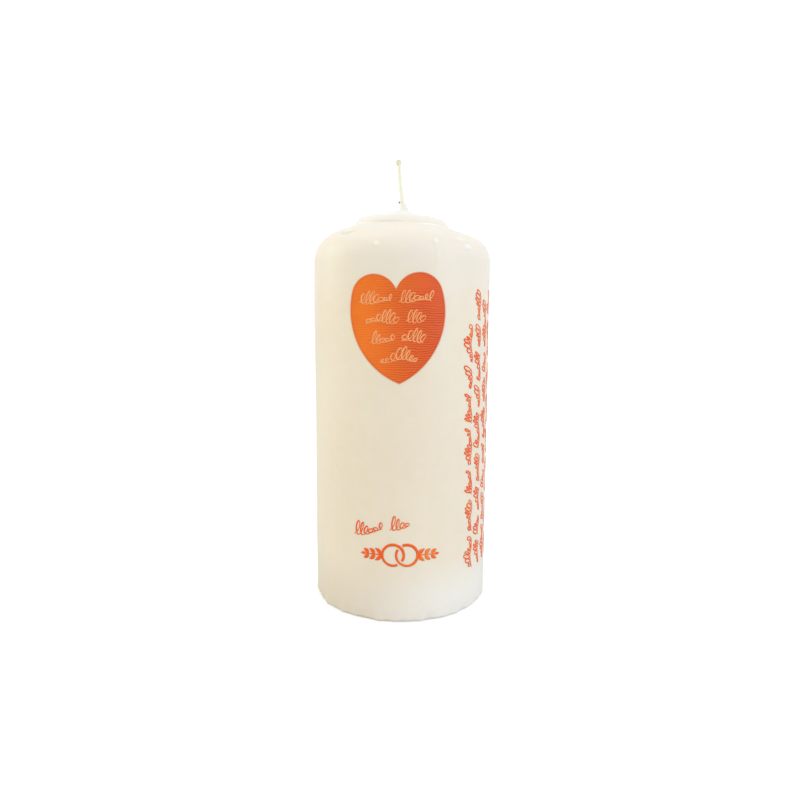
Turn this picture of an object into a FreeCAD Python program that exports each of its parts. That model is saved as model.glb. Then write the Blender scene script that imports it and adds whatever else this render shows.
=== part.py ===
"""Printed pillar candle, 60 mm across and 136 mm of wax tall, with its wick.

A pressed wax core carries a braided cotton wick in a crimped tinplate clip. A harder wax coat is dipped
over the core and climbs the foot of the wick. The decoration is printed on the coat in thin wax ink.

Frame: millimetres, +Z up, origin at the centre of the base, heart facing -Y.
Azimuth 0 faces -Y and grows towards +X.
"""

import FreeCAD, Part
import os
import re
from math import atan2, pi, sqrt

import Sketcher
from FreeCAD import Placement, Rotation, Vector

# Every alias has an underscore, so that a formula can tell it from a function such as sin.
DIMENSIONS = {
    # wax body
    "candle_radius": 30.0,
    "base_round": 1.8,
    "wall_height": 115.0,
    "shoulder_radius": 10.0,
    "shoulder_slope": 21.3,
    "rim_foot_radius": 16.3,
    "rim_radius": 14.4,
    "rim_height": 129.6,
    "rim_round": 1.2,
    "dish_radius": 12.7,
    "dish_height": 129.2,
    "coat_thickness": 2.2,
    "core_top_radius": 13.0,
    # wax that climbs the foot of the wick
    "mound_radius": 11.4,
    "mound_slope": 22.0,
    "collar_foot_radius": 2.1,
    "collar_top_radius": 1.4,
    "collar_height": 135.6,
    "mound_root": 1.0,
    # underside
    "recess_radius": 19.0,
    "recess_depth": 1.0,
    "label_radius": 17.0,
    "label_thickness": 0.1,
    # wick and its clip
    "wick_radius": 0.75,
    "wick_clearance": 0.12,
    "channel_overrun": 7.0,
    "wick_shift": 0.3,
    "wick_bend_radius": 12.0,
    "wick_bend_rise": 2.3,
    "wick_tip_height": 149.0,
    "wick_tip_lean": -1.3,
    "bead_radius": 1.0,
    "clip_radius": 9.0,
    "clip_thickness": 0.35,
    "clip_neck_height": 5.0,
    "clip_neck_wall": 0.3,
    "clip_clearance": 0.05,
    # printed films
    "ink_thickness": 0.08,
    "pen_width": 0.5,
    "print_depth": 40.0,
    "heart_half_width": 14.7,
    "heart_point_height": 76.6,
    "heart_wide_height": 98.8,
    "heart_top_height": 110.3,
    "heart_notch_height": 105.4,
    "heart_lobe_spread": 7.2,
    "heart_pen_pitch": 1.8,
    "heart_pen_slope": 2.0,
    "side_pen_pitch": 2.08,
    "side_pen_slope": 91.5,
    "side_first_azimuth": 52.0,
    "side_azimuth_step": 10.0,
    "side_foot_height": 14.5,
    "flourish_slope": 12.0,
    "flourish_pitch": 2.05,
    "motif_azimuth": 2.2,
    "motif_height": 22.4,
    "ring_radius": 3.4,
    "ring_width": 0.85,
    "ring_spread": 2.2,
    "stem_length": 11.5,
    "stem_width": 0.5,
    "leaf_length": 2.7,
    "leaf_width": 1.25,
    "leaf_angle": 42.0,
    "leaf_spacing": 2.05,
    "first_leaf_place": 5.8,
}

# Pen lines on the heart: where each starts (x, z) and how many waves it has.
HEART_PEN_LINES = [(-11.6, 101.8, 6), (-9.7, 95.8, 5), (-8.6, 89.9, 5), (-5.2, 84.2, 3)]
# Waves in each pen line on the side, from the front round to the back.
SIDE_PEN_LINES = [20, 22, 21, 22, 17]
# The flourish over the rings: where it starts (x, z) and how many waves it has.
FLOURISH = (-13.9, 28.1, 5)
LEAVES_ON_A_SPRIG = 3

doc = FreeCAD.newDocument("pillar_candle")
sizes = doc.addObject("Spreadsheet::Sheet", "Sizes")
for row, (alias, size) in enumerate(DIMENSIONS.items(), start=1):
    sizes.set(f"A{row}", alias)
    sizes.set(f"B{row}", str(size))
    sizes.setAlias(f"B{row}", alias)
doc.recompute()


def bound(formula):
    """Put the sheet's name before each alias, as an expression outside the sheet needs."""
    return re.sub(r"[a-z]+(_[a-z]+)+", r"Sizes.\g<0>", formula)


def number(formula):
    """The value of a formula."""
    result = sizes.evalExpression(bound(formula))
    return float(getattr(result, "Value", result))


def bind(thing, prop, formula):
    thing.setExpression(prop, bound(formula))


# ---------------------------------------------------------------- sketch helpers


def new_body(name):
    body = doc.addObject("PartDesign::Body", name)
    body.Label = name
    return body


def origin_plane(body, role):
    return next(feature for feature in body.Origin.OriginFeatures if feature.Role == role)


def new_sketch(body, name, role="XZ_Plane"):
    """A sketch on one of the body's origin planes; on XZ_Plane its axes are +X and +Z."""
    sketch = body.newObject("Sketcher::SketchObject", name)
    sketch.AttachmentSupport = [(origin_plane(body, role), "")]
    sketch.MapMode = "FlatFace"
    return sketch


def pin_point(sketch, edge, end, x_formula, y_formula):
    """Hold one end of an edge at the place that two formulas give."""
    for axis, kind, formula in ((-2, "DistanceX", x_formula), (-1, "DistanceY", y_formula)):
        if formula == "0":
            sketch.addConstraint(Sketcher.Constraint("PointOnObject", edge, end, axis))
            continue
        sized = Sketcher.Constraint(kind, -1, 1, edge, end, number(formula))
        bind(sketch, f"Constraints[{sketch.addConstraint(sized)}]", formula)


def pin_radius(sketch, edge, formula):
    sized = Sketcher.Constraint("Radius", edge, number(formula))
    bind(sketch, f"Constraints[{sketch.addConstraint(sized)}]", formula)


def arc_between(start, end, radius, left_turn):
    """The short arc from start to end; a left turn runs anticlockwise."""
    chord = end - start
    half = chord.Length / 2
    rise = sqrt(max(radius**2 - half**2, 0.0))
    to_centre = Vector(-chord.y, chord.x, 0).normalize() * (rise if left_turn else -rise)
    centre = (start + end) * 0.5 + to_centre
    first, last = (start, end) if left_turn else (end, start)
    angles = [atan2(point.y - centre.y, point.x - centre.x) for point in (first, last)]
    return Part.ArcOfCircle(Part.Circle(centre, Vector(0, 0, 1), radius), *angles)


def draw_outline(sketch, corners):
    """Close an outline through corners given as (x, y) formulas.

    A corner may add ("left" or "right", radius formula): the edge that leaves it is then an arc that
    turns that way. The other edges are straight.
    """
    points = [Vector(number(corner[0]), number(corner[1]), 0) for corner in corners]
    edges = []
    for index, corner in enumerate(corners):
        start, end = points[index], points[(index + 1) % len(points)]
        if len(corner) == 2:
            edges.append((sketch.addGeometry(Part.LineSegment(start, end)), 1, 2))
            continue
        left_turn = corner[2] == "left"
        edge = sketch.addGeometry(arc_between(start, end, number(corner[3]), left_turn))
        edges.append((edge, 1, 2) if left_turn else (edge, 2, 1))
    for index, (edge, _, end) in enumerate(edges):
        following, following_start, _ = edges[(index + 1) % len(edges)]
        sketch.addConstraint(Sketcher.Constraint("Coincident", edge, end, following, following_start))
    for (edge, start, _), corner in zip(edges, corners):
        pin_point(sketch, edge, start, corner[0], corner[1])
        if len(corner) > 2:
            pin_radius(sketch, edge, corner[3])


def draw_circle(sketch, x_formula, y_formula, radius_formula):
    centre = Vector(number(x_formula), number(y_formula), 0)
    circle = Part.Circle(centre, Vector(0, 0, 1), number(radius_formula))
    edge = sketch.addGeometry(circle)
    pin_point(sketch, edge, 3, x_formula, y_formula)
    pin_radius(sketch, edge, radius_formula)


# ---------------------------------------------------------------- feature helpers


def revolve(body, sketch, name, axis="V_Axis"):
    """Turn a sketch all the way round one of its axes."""
    feature = body.newObject("PartDesign::Revolution", name)
    feature.Profile = sketch
    feature.ReferenceAxis = (sketch, [axis])
    feature.Angle = 360
    return feature


def pad(body, sketch, name, length):
    """Extrude a sketch along its normal, which is -Y for a sketch on XZ_Plane."""
    feature = body.newObject("PartDesign::Pad", name)
    feature.Profile = sketch
    bind(feature, "Length", length)
    return feature


def cylinder(name, radius, low, high):
    """A plain cylinder on the candle's axis between two heights."""
    post = doc.addObject("Part::Cylinder", name)
    bind(post, "Radius", radius)
    bind(post, "Height", f"{high} - ({low})")
    bind(post, "Placement.Base.z", low)
    return post


def combine(kind, name, base, tool):
    """Part::Cut or Part::Common of two objects."""
    feature = doc.addObject(kind, name)
    feature.Base = base
    feature.Tool = tool
    feature.Label = name
    return feature


def bundle(name, pieces):
    """One node that holds separate pieces of the same print."""
    group = doc.addObject("Part::Compound", name)
    group.Links = pieces
    group.Label = name
    return group


# ---------------------------------------------------------------- shared outlines

SHOULDER_CENTRE = "(candle_radius - shoulder_radius)"


def shoulder_end(offset):
    """Where the shoulder arc meets the sloping top, on a surface that lies offset outside the coat."""
    reach = f"(shoulder_radius + ({offset}))"
    return (
        f"{SHOULDER_CENTRE} + {reach} * sin(shoulder_slope)",
        f"wall_height + {reach} * cos(shoulder_slope)",
    )


def down_slope(offset, radius):
    """Height of the sloping top at a radius, on a surface that lies offset outside the coat."""
    end_radius, end_height = shoulder_end(offset)
    return f"{end_height} + ({end_radius} - {radius}) * tan(shoulder_slope)"


CORE_RADIUS = "(candle_radius - coat_thickness)"
CORE_SHOULDER = shoulder_end("-coat_thickness")
CORE_TOP = down_slope("-coat_thickness", "core_top_radius")
# The core's wall, shoulder and flat top, from the base edge up and in to the axis.
CORE_SIDE = [
    (CORE_RADIUS, "0"),
    (CORE_RADIUS, "wall_height", "left", "shoulder_radius - coat_thickness"),
    CORE_SHOULDER,
    ("core_top_radius", CORE_TOP),
    ("0", CORE_TOP),
]

CHANNEL_RADIUS = "wick_radius + wick_clearance"
WICK_TILT = "atan(wick_shift / collar_height)"


def wick_channel(name):
    """The straight hole that the wick runs in, from the centre of the base to the collar's mouth."""
    hole = doc.addObject("Part::Cylinder", name)
    bind(hole, "Radius", CHANNEL_RADIUS)
    hole.Placement = Placement(Vector(), Rotation(Vector(0, 1, 0), 0))
    bind(hole, "Placement.Rotation.Angle", WICK_TILT)
    bind(hole, "Height", "collar_height + channel_overrun")
    return hole


def make_wax_core():
    """Pressed wax core with a shallow recess under it and a seat for the wick clip."""
    body = new_body("pressed_core")
    profile = new_sketch(body, "core_profile")
    recess = [("0", "recess_depth"), ("recess_radius", "recess_depth"), ("recess_radius", "0")]
    draw_outline(profile, recess + CORE_SIDE)
    revolve(body, profile, "core_turn")

    seat = cylinder(
        "clip_seat", "clip_radius + clip_clearance", "recess_depth", "recess_depth + clip_thickness"
    )
    neck = cylinder(
        "clip_neck_seat",
        "wick_radius + wick_clearance + clip_neck_wall + clip_clearance",
        "recess_depth",
        "recess_depth + clip_neck_height + clip_clearance",
    )
    seated = combine("Part::Cut", "core_with_seat", body, seat)
    necked = combine("Part::Cut", "core_with_neck_seat", seated, neck)
    return combine("Part::Cut", "wax_core", necked, wick_channel("core_channel"))


def make_overdip_coat():
    """Harder outer wax: wall, rounded shoulder, raised rim, shallow dish and the mound round the wick."""
    body = new_body("coat_blank")
    profile = new_sketch(body, "coat_profile")
    outside = [
        ("candle_radius - base_round", "0", "left", "base_round"),
        ("candle_radius", "base_round"),
        ("candle_radius", "wall_height", "left", "shoulder_radius"),
        shoulder_end("0"),
        ("rim_foot_radius", down_slope("0", "rim_foot_radius")),
        ("rim_radius + rim_round", "rim_height - rim_round", "left", "rim_round"),
        ("rim_radius", "rim_height"),
        ("dish_radius", "dish_height"),
        ("0", "dish_height"),
    ]
    inside = [
        ("0", CORE_TOP),
        ("core_top_radius", CORE_TOP),
        (*CORE_SHOULDER, "right", "shoulder_radius - coat_thickness"),
        (CORE_RADIUS, "wall_height"),
        (CORE_RADIUS, "0"),
    ]
    draw_outline(profile, outside + inside)
    revolve(body, profile, "coat_turn")

    mound = new_sketch(body, "mound_profile")
    collar_foot = "dish_height + (mound_radius - collar_foot_radius) * tan(mound_slope)"
    draw_outline(
        mound,
        [
            ("wick_shift", "dish_height - mound_root"),
            ("wick_shift + mound_radius", "dish_height - mound_root"),
            ("wick_shift + mound_radius", "dish_height"),
            ("wick_shift + collar_foot_radius", collar_foot),
            ("wick_shift + collar_top_radius", "collar_height"),
            ("wick_shift", "collar_height"),
        ],
    )
    axis_ends = [Vector(number("wick_shift"), number(height), 0) for height in ("0", "wall_height")]
    turning = mound.addGeometry(Part.LineSegment(*axis_ends), True)
    pin_point(mound, turning, 1, "wick_shift", "0")
    pin_point(mound, turning, 2, "wick_shift", "wall_height")
    revolve(body, mound, "mound_turn", "Axis0")
    return combine("Part::Cut", "overdip_coat", body, wick_channel("coat_channel"))


def make_wick():
    """Cotton wick: straight through the wax, then leaning over above it, with a wax bead on its tip."""
    body = new_body("wick")
    spine = new_sketch(body, "wick_path")
    foot = Vector(0, number("recess_depth"), 0)
    mouth = Vector(number("wick_shift"), number("collar_height"), 0)
    # A first guess, which the tangents below settle.
    bend_end = mouth + Vector(-number("wick_clearance"), number("wick_bend_rise"), 0)
    tip = Vector(number("wick_tip_lean"), number("wick_tip_height"), 0)
    run = spine.addGeometry(Part.LineSegment(foot, mouth))
    bend = spine.addGeometry(arc_between(mouth, bend_end, number("wick_bend_radius"), True))
    lean = spine.addGeometry(arc_between(bend_end, tip, number("wick_tip_height"), False))
    pin_point(spine, run, 1, "0", "recess_depth")
    pin_point(spine, run, 2, "wick_shift", "collar_height")
    spine.addConstraint(Sketcher.Constraint("Tangent", run, 2, bend, 1))
    spine.addConstraint(Sketcher.Constraint("Tangent", bend, 2, lean, 2))
    pin_radius(spine, bend, "wick_bend_radius")
    rise = Sketcher.Constraint("DistanceY", bend, 1, bend, 2, number("wick_bend_rise"))
    bind(spine, f"Constraints[{spine.addConstraint(rise)}]", "wick_bend_rise")
    pin_point(spine, lean, 1, "wick_tip_lean", "wick_tip_height")

    section = new_sketch(body, "wick_section", "XY_Plane")
    bind(section, "AttachmentOffset.Base.z", "recess_depth")
    draw_circle(section, "0", "0", "wick_radius")
    sweep = body.newObject("PartDesign::AdditivePipe", "wick_sweep")
    sweep.Profile = section
    sweep.Spine = spine
    bead = body.newObject("PartDesign::AdditiveSphere", "wick_bead")
    bead.AttachmentSupport = [(origin_plane(body, "XY_Plane"), "")]
    bead.MapMode = "FlatFace"
    bind(bead, "AttachmentOffset.Base.x", "wick_tip_lean")
    bind(bead, "AttachmentOffset.Base.z", "wick_tip_height")
    bind(bead, "Radius", "bead_radius")
    return body


def make_wick_clip():
    """Tinplate disc with a drawn neck that is crimped round the foot of the wick."""
    body = new_body("wick_clip")
    profile = new_sketch(body, "clip_profile")
    inner = "wick_radius + wick_clearance"
    outer = "wick_radius + wick_clearance + clip_neck_wall"
    disc_top = "recess_depth + clip_thickness"
    neck_top = "recess_depth + clip_neck_height"
    draw_outline(
        profile,
        [
            (inner, "recess_depth"),
            ("clip_radius", "recess_depth"),
            ("clip_radius", disc_top),
            (outer, disc_top),
            (outer, neck_top),
            (inner, neck_top),
        ],
    )
    revolve(body, profile, "clip_turn")
    return body


def make_base_label():
    """Blank paper disc stuck to the roof of the recess, over the clip."""
    body = new_body("base_label")
    face = new_sketch(body, "label_face", "XY_Plane")
    bind(face, "AttachmentOffset.Base.z", "recess_depth - label_thickness")
    draw_circle(face, "0", "0", "label_radius")
    pad(body, face, "label_sheet", "label_thickness")
    return body


# ---------------------------------------------------------------- printed films


def ink_skin(name, inner, outer):
    """A blank skin between two distances outside the coat; a print is cut from it."""
    body = new_body(name)
    profile = new_sketch(body, f"{name}_profile")
    draw_outline(
        profile,
        [
            (f"candle_radius + {inner}", "base_round"),
            (f"candle_radius + {outer}", "base_round"),
            (f"candle_radius + {outer}", "wall_height", "left", f"shoulder_radius + {outer}"),
            shoulder_end(outer),
            (*shoulder_end(inner), "right", f"shoulder_radius + {inner}"),
            (f"candle_radius + {inner}", "wall_height"),
        ],
    )
    revolve(body, profile, f"{name}_turn")
    return body


def ink_on_wax(name, stamp):
    """The part of a stamp's sweep that lies in the film of ink on the coat."""
    return combine("Part::Common", name, stamp, ink_skin(f"{name}_skin", "0", "ink_thickness"))


def make_heart():
    """Tall heart. Each half has an arc from notch to lobe top, a tighter outer lobe and a long flank."""
    body = new_body("heart_stamp")
    sketch = new_sketch(body, "heart_outline")
    drop = "(heart_wide_height - heart_point_height)"
    flank = f"(heart_half_width / 2 + {drop} * {drop} / (2 * heart_half_width))"
    rise = "(heart_top_height - heart_wide_height)"
    inset = "(heart_half_width - heart_lobe_spread)"
    lobe = f"((2 * {inset} * {flank} - {inset} * {inset} - {rise} * {rise}) / (2 * ({flank} - {rise})))"
    notch_depth = "(heart_top_height - heart_notch_height)"
    inner_lobe = (
        f"((heart_lobe_spread * heart_lobe_spread + {notch_depth} * {notch_depth}) / (2 * {notch_depth}))"
    )
    # The lobe and flank arcs touch on the line through their centres.
    lean = f"atan(({rise} - {lobe}) / ({flank} - {inset}))"
    join_x = f"heart_half_width - {flank} + {flank} * cos({lean})"
    join_z = f"heart_wide_height + {flank} * sin({lean})"
    right = [
        ("0", "heart_point_height", "left", flank),
        (join_x, join_z, "left", lobe),
        ("heart_lobe_spread", "heart_top_height", "left", inner_lobe),
    ]
    left = [
        ("0", "heart_notch_height", "left", inner_lobe),
        ("-heart_lobe_spread", "heart_top_height", "left", lobe),
        (f"-({join_x})", join_z, "left", flank),
    ]
    draw_outline(sketch, right + left)
    pad(body, sketch, "heart_pad", "print_depth")
    return ink_on_wax("heart_print", body)


def draw_wave(sketch, pitch):
    """One full wave of a ribbon along the sketch's x axis: half rings over and under it, end to end."""
    edge = number("pen_width") / 2
    step = number(pitch)
    upper, lower = f"{pitch} / 2", f"3 * {pitch} / 2"
    half_rings = []
    for centre, turns in ((upper, (0, pi)), (lower, (pi, 2 * pi))):
        middle = Vector(number(centre), 0, 0)
        for radius in (step / 2 + edge, step / 2 - edge):
            circle = Part.Circle(middle, Vector(0, 0, 1), radius)
            arc = sketch.addGeometry(Part.ArcOfCircle(circle, *turns))
            pin_point(sketch, arc, 3, centre, "0")
            half_rings.append(arc)
    upper_outer, upper_inner, lower_outer, lower_inner = half_rings
    first = sketch.addGeometry(Part.LineSegment(Vector(-edge, 0, 0), Vector(edge, 0, 0)))
    last_ends = Vector(2 * step - edge, 0, 0), Vector(2 * step + edge, 0, 0)
    last = sketch.addGeometry(Part.LineSegment(*last_ends))
    for outer in (upper_outer, lower_outer):
        pin_radius(sketch, outer, f"({pitch} + pen_width) / 2")
        for end in (1, 2):
            sketch.addConstraint(Sketcher.Constraint("PointOnObject", outer, end, -1))
    for inner in (upper_inner, lower_inner):
        sketch.addConstraint(Sketcher.Constraint("PointOnObject", inner, 2, -1))
    joints = [
        (upper_outer, 1, lower_inner, 1),
        (upper_inner, 1, lower_outer, 1),
        (first, 1, upper_outer, 2),
        (first, 2, upper_inner, 2),
        (last, 1, lower_inner, 2),
        (last, 2, lower_outer, 2),
    ]
    for joint in joints:
        sketch.addConstraint(Sketcher.Constraint("Coincident", *joint))


def pen_line(name, start_x, start_z, slope, pitch, waves):
    """A ribbon of equal waves, drawn from a start point along a slope and stamped towards -Y."""
    body = new_body(name)
    sketch = new_sketch(body, f"{name}_wave")
    bind(sketch, "AttachmentOffset.Base.x", start_x)
    bind(sketch, "AttachmentOffset.Base.y", start_z)
    bind(sketch, "AttachmentOffset.Rotation.Angle", slope)
    draw_wave(sketch, pitch)
    wave = pad(body, sketch, f"{name}_pad", "print_depth")
    repeat = body.newObject("PartDesign::LinearPattern", f"{name}_repeat")
    repeat.Originals = [wave]
    repeat.Direction = (sketch, ["H_Axis"])
    repeat.Mode = "Spacing"
    bind(repeat, "Offset", f"2 * {pitch}")
    repeat.Occurrences = waves
    body.Tip = repeat
    return body


def make_heart_pen_lines():
    """Four pen lines on top of the heart's ink, nearly level."""
    lines = []
    for index, (start_x, start_z, waves) in enumerate(HEART_PEN_LINES, start=1):
        name = f"heart_pen_{index}"
        stamp = pen_line(name, f"{start_x}", f"{start_z}", "heart_pen_slope", "heart_pen_pitch", waves)
        skin = ink_skin(f"{name}_skin", "ink_thickness", "2 * ink_thickness")
        lines.append(combine("Part::Common", f"{name}_ink", stamp, skin))
    return bundle("heart_pen_lines", lines)


def make_side_pen_lines():
    """Upright pen lines that follow each other round the wall, read from the base upwards."""
    lines = []
    for index, waves in enumerate(SIDE_PEN_LINES):
        name = f"side_pen_{index + 1}"
        stamp = pen_line(name, "0", "side_foot_height", "side_pen_slope", "side_pen_pitch", waves)
        line = ink_on_wax(f"{name}_ink", stamp)
        line.Placement = Placement(Vector(), Rotation(Vector(0, 0, 1), 0))
        bind(line, "Placement.Rotation.Angle", f"side_first_azimuth + {index} * side_azimuth_step")
        lines.append(line)
    return bundle("side_pen_lines", lines)


def make_flourish():
    """Short rising pen line over the rings."""
    start_x, start_z, waves = FLOURISH
    stamp = pen_line("flourish_stamp", f"{start_x}", f"{start_z}", "flourish_slope", "flourish_pitch", waves)
    return ink_on_wax("flourish_print", stamp)


def make_rings():
    """Two linked rings between two leafy sprigs."""
    body = new_body("rings_stamp")
    pads = []
    for side, sign in (("right", ""), ("left", "-")):
        ring = new_sketch(body, f"ring_{side}")
        for edge in ("+", "-"):
            draw_circle(ring, f"{sign}ring_spread", "motif_height", f"ring_radius {edge} ring_width / 2")
        pad(body, ring, f"ring_{side}_pad", "print_depth")

    stem = new_sketch(body, "stem_outline")
    ring_edge = "ring_spread + ring_radius"
    low = "motif_height - stem_width / 2"
    high = "motif_height + stem_width / 2"
    draw_outline(stem, [(ring_edge, low), ("stem_length", low), ("stem_length", high), (ring_edge, high)])
    pads.append(pad(body, stem, "stem_pad", "print_depth"))

    bow = "(leaf_length * leaf_length / 4 + leaf_width * leaf_width / 4) / leaf_width"
    for index in range(LEAVES_ON_A_SPRIG):
        for up, sign in (("up", ""), ("down", "-")):
            leaf = new_sketch(body, f"leaf_{up}_{index + 1}")
            bind(leaf, "AttachmentOffset.Base.x", f"first_leaf_place + {index} * leaf_spacing")
            bind(leaf, "AttachmentOffset.Base.y", "motif_height")
            bind(leaf, "AttachmentOffset.Rotation.Angle", f"{sign}leaf_angle")
            draw_outline(leaf, [("0", "0", "left", bow), ("leaf_length", "0", "left", bow)])
            pads.append(pad(body, leaf, f"leaf_{up}_{index + 1}_pad", "print_depth"))

    mirrored = body.newObject("PartDesign::Mirrored", "other_sprig")
    mirrored.Originals = pads
    mirrored.MirrorPlane = (origin_plane(body, "YZ_Plane"), [""])
    body.Tip = mirrored
    motif = ink_on_wax("rings_print", body)
    motif.Placement = Placement(Vector(), Rotation(Vector(0, 0, 1), 0))
    bind(motif, "Placement.Rotation.Angle", "motif_azimuth")
    return motif


# ---------------------------------------------------------------- build, check, write


def check_document():
    """Stop if any object failed, or a sketch is loose, after the recompute."""
    for thing in doc.Objects:
        if {"Invalid", "Error"} & set(thing.State):
            raise RuntimeError(f"{thing.Name} failed: {thing.State}")
        if thing.isDerivedFrom("Sketcher::SketchObject") and not thing.FullyConstrained:
            raise RuntimeError(f"{thing.Name} is not fully constrained")


def write_pieces(pieces):
    os.makedirs("parts", exist_ok=True)
    for piece in pieces:
        if piece.Shape.isNull() or not piece.Shape.isValid() or not piece.Shape.Solids:
            raise RuntimeError(f"{piece.Label} has no valid solid")
    for piece in pieces:
        piece.Shape.exportStep(f"parts/{piece.Label}.step")
        box = piece.Shape.optimalBoundingBox()
        spans = f"{box.XLength:.1f} x {box.YLength:.1f} x {box.ZLength:.1f}"
        print(f"{piece.Label}: {len(piece.Shape.Solids)} solid(s), {piece.Shape.Volume:.1f} mm3, {spans} mm")


sub_parts = [
    make_wax_core(),
    make_overdip_coat(),
    make_wick(),
    make_wick_clip(),
    make_base_label(),
    make_heart(),
    make_heart_pen_lines(),
    make_side_pen_lines(),
    make_flourish(),
    make_rings(),
]
doc.recompute()
check_document()
write_pieces(sub_parts)
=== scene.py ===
"""Looks of the printed pillar candle: dipped wax, printed heart and pen work, braided wick.

Metres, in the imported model's frame: +Z up, origin at the centre of the base, heart facing -Y.
Azimuth 0 faces -Y and grows towards +X. A print is drawn on a flat sheet as (across, height), where across
is the sideways distance seen from straight in front, and is then wrapped on the wax.
"""

import math
import random

import bmesh
import bpy
import numpy as np
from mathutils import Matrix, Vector


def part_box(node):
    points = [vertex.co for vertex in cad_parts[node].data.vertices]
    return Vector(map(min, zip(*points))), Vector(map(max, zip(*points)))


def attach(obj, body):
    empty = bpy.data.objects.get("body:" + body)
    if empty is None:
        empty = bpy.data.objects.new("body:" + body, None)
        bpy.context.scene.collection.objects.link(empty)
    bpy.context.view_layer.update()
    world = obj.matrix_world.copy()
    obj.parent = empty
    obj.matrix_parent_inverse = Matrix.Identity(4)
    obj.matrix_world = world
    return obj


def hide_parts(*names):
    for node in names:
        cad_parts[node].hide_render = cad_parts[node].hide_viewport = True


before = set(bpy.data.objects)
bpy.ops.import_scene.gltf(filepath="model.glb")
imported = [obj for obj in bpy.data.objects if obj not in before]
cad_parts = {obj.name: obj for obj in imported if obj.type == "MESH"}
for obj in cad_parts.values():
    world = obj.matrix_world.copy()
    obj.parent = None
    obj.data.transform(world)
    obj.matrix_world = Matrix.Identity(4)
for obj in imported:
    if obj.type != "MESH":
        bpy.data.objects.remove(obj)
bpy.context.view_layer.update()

MM = 0.001
SEED = 7

# ---------------------------------------------------------------- sizes, from the frame

coat_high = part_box("overdip_coat")[1]
core_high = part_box("wax_core")[1]
wick_low, wick_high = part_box("wick")
heart_low, heart_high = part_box("heart_print")
rings_low, rings_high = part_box("rings_print")
flourish_low, flourish_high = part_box("flourish_print")

RADIUS = coat_high.x
WAX_TOP = coat_high.z
CORE_RADIUS = core_high.x
CORE_TOP = core_high.z
CORE_TOP_RADIUS = 13.0 * MM
COAT_THICKNESS = RADIUS - CORE_RADIUS
BASE_ROUND = 1.3 * MM
SHOULDER_SLOPE = math.radians(21.3)
SHOULDER_ROUND = 10.0 * MM
WALL_TOP = WAX_TOP - 20.6 * MM
SHOULDER_CORNER = WAX_TOP - 13.77 * MM
RIM_FOOT_RADIUS = 16.4 * MM
RIM_RADIUS = 14.6 * MM
RIM_HEIGHT = WAX_TOP - 5.9 * MM
GROOVE_RADIUS = 12.8 * MM
GROOVE_HEIGHT = WAX_TOP - 6.4 * MM
CONE_RADIUS = 3.2 * MM
CONE_HEIGHT = WAX_TOP - 3.6 * MM
SHEATH_RADIUS = 1.6 * MM
SHEATH_FOOT = WAX_TOP - 2.6 * MM
SHEATH_TOP_RADIUS = 1.08 * MM
MOUTH_RADIUS = 0.82 * MM
INNER_GAP = 0.03 * MM

BEAD_RADIUS = 1.0 * MM
WICK_TIP = Vector((wick_low.x + BEAD_RADIUS, 0, wick_high.z - BEAD_RADIUS))
# The wick's centre line, in millimetres: height over the wax's top, place to the right.
WICK_LINE = [
    (-8.0, 2.1),
    (-4.0, 1.3),
    (-1.1, 0.4),
    (1.2, 0.0),
    (4.5, -0.4),
    (7.6, -0.75),
    (11.5, -1.05),
    (14.0, -1.3),
]


def smooth_step(share):
    """Ease a share from 0 to 1, clamped outside that range."""
    share = np.clip(share, 0, 1)
    return share * share * (3 - 2 * share)


# ---------------------------------------------------------------- wax surface


def rounded_path(corners, spacing):
    """Points along straight runs whose corners, given as (radius, height, rounding), are eased by arcs."""
    spots = [np.array(corner[:2]) for corner in corners]
    path = [spots[0]]
    for index in range(1, len(corners) - 1):
        before, spot, after = spots[index - 1], spots[index], spots[index + 1]
        way_in = (spot - before) / np.linalg.norm(spot - before)
        way_out = (after - spot) / np.linalg.norm(after - spot)
        turn = math.acos(np.clip(way_in @ way_out, -1, 1))
        reach = corners[index][2] * math.tan(turn / 2)
        start, end = spot - way_in * reach, spot + way_out * reach
        steps = max(2, round(math.degrees(turn) / 5))
        for share in np.linspace(0, 1, steps + 1):
            # A quadratic curve between the tangent points lies close to the arc at these angles.
            path.append((1 - share) ** 2 * start + 2 * share * (1 - share) * spot + share**2 * end)
    path.append(spots[-1])
    dense = [path[0]]
    for near, far in zip(path, path[1:]):
        pieces = max(1, math.ceil(np.linalg.norm(far - near) / spacing))
        dense += [near + (far - near) * k / pieces for k in range(1, pieces + 1)]
    return np.array(dense)


def slope_height(radius, depth=0.0):
    """Height of the sloping shoulder at a radius, or of the line a depth under it."""
    return SHOULDER_CORNER + (RADIUS - radius) * math.tan(SHOULDER_SLOPE) - depth / math.cos(SHOULDER_SLOPE)


def thinned_wall(path):
    """Leave out most rings of the plain wall, which needs fewer than the foot and the shoulder do."""
    kept_every = 7
    margin = 6 * MM
    plain = (path[:, 1] > margin) & (path[:, 1] < WALL_TOP - margin)
    return path[~plain | (np.arange(len(path)) % kept_every == 0)]


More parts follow.
